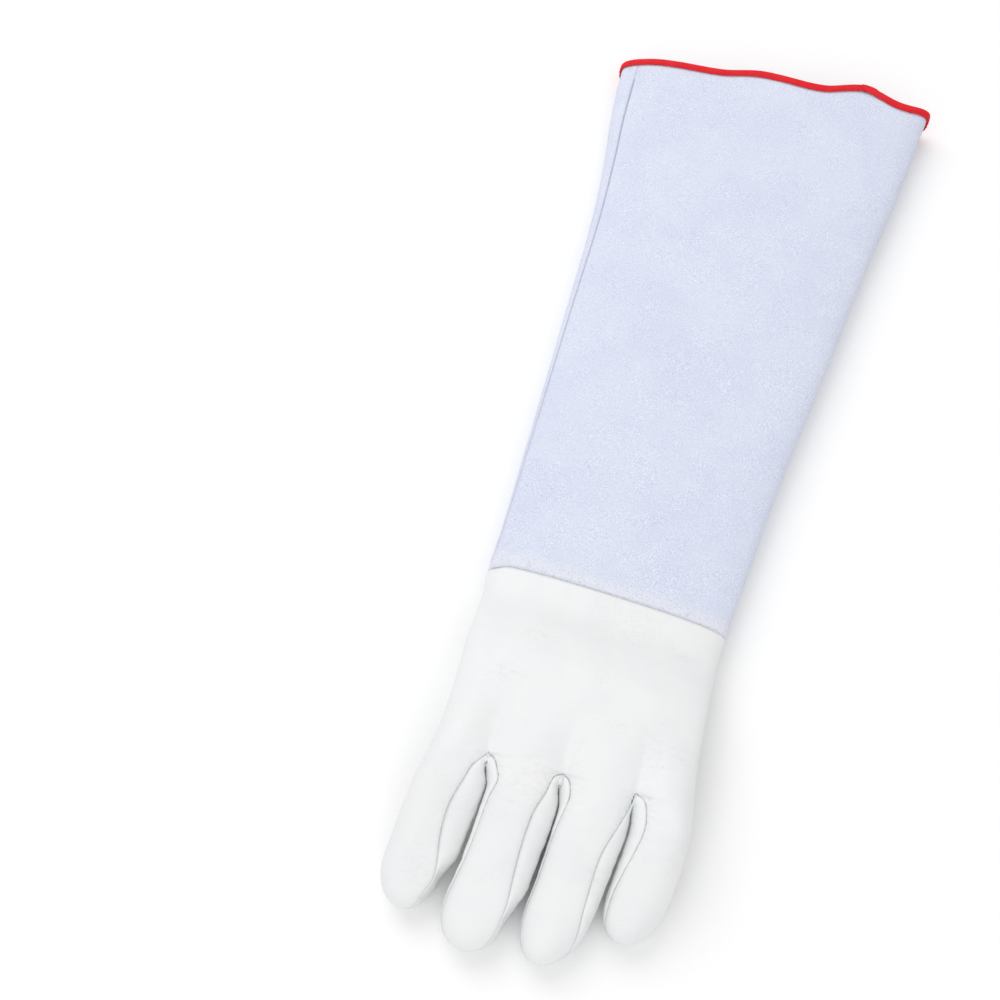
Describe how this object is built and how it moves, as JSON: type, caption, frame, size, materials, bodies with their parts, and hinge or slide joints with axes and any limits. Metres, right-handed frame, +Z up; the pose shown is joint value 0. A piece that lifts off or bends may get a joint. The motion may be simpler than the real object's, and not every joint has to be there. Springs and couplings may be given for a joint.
{
  "type": "cryogenic glove",
  "caption": "long leather gauntlet glove for very cold liquids, lying palm down: pale grain hand, suede cuff flaring to a red-bound mouth",
  "frame": {"origin": "under the middle of the glove's bounding box, on the surface that it lies on", "axes": "+Y from the fingertips to the cuff's mouth, +X to the little finger's side, +Z up through the back of the hand"},
  "size_m": [0.2114, 0.6148, 0.0472],
  "materials": {
    "grain_leather": "smooth white grain leather, satin",
    "suede": "pale blue-grey split leather with a short nap, dull",
    "binding_tape": "red woven tape"
  },
  "bodies": {
    "root": {"back_panel": "grain_leather", "palm_panel": "grain_leather", "fork_index_middle": "grain_leather", "fork_middle_ring": "grain_leather", "fork_ring_little": "grain_leather", "thumb": "grain_leather", "cuff": "suede", "cuff_binding": "binding_tape"}
  },
  "joints": []
}
